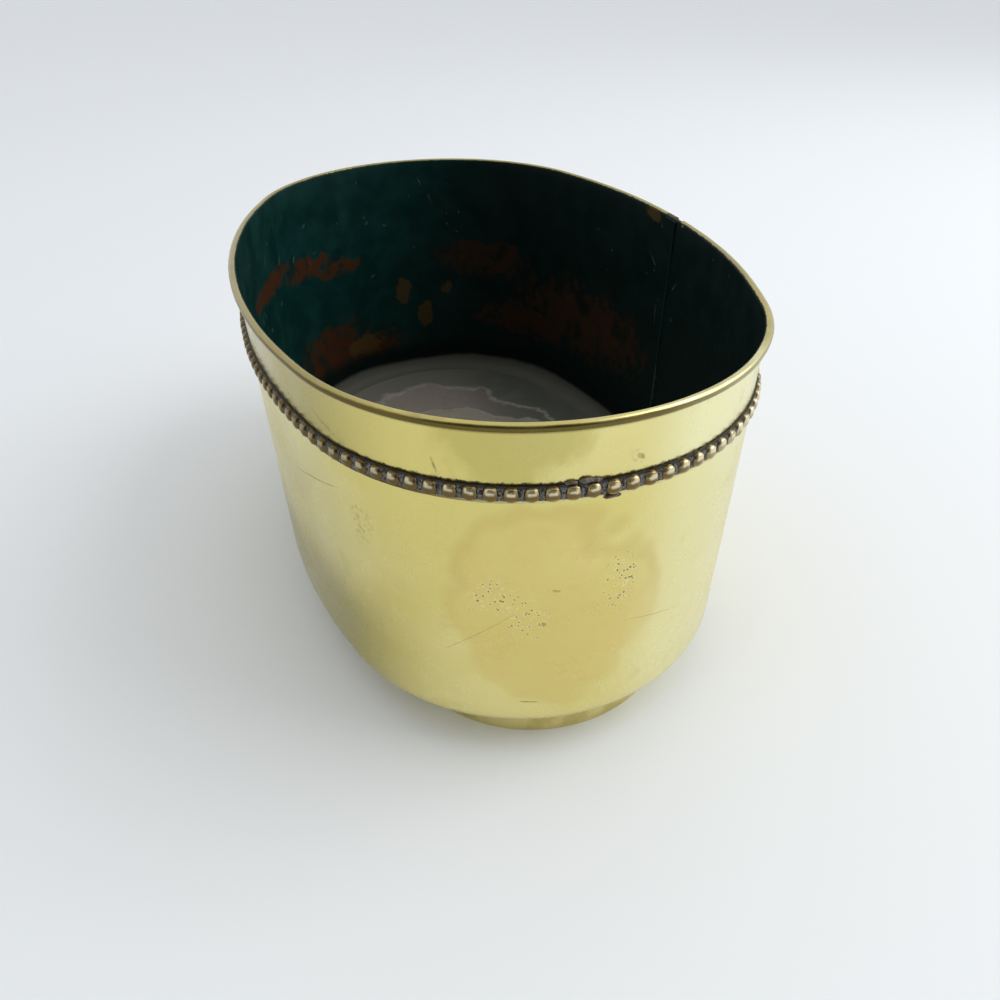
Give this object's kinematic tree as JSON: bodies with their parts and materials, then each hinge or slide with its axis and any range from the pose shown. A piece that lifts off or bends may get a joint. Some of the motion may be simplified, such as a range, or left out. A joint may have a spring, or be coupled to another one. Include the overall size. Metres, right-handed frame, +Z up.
{
  "type": "oval cachepot",
  "caption": "Small oval brass cachepot with straight walls, a rolled rim over wire, a beaded band below the rim and a low inset foot.",
  "frame": {"origin": "middle of the foot ring's underside, where the pot stands", "axes": "+Z up, +X along the oval's length, +Y across it towards the side with the lapped seam"},
  "size_m": [0.2004, 0.1304, 0.0975],
  "materials": {
    "wall_brass": "aged satin brass outside, dark green-black patina inside",
    "wire_steel": "dull dark wire",
    "bead_brass": "worn brass with grey solder and dirt between the beads",
    "floor_brass": "dull grey, stained by water",
    "foot_brass": "satin brass, darker than the wall"
  },
  "bodies": {
    "root": {"wall": "wall_brass", "rim_wire": "wire_steel", "bead_band": "bead_brass", "base_plate": "floor_brass", "foot_ring": "foot_brass"}
  },
  "joints": []
}
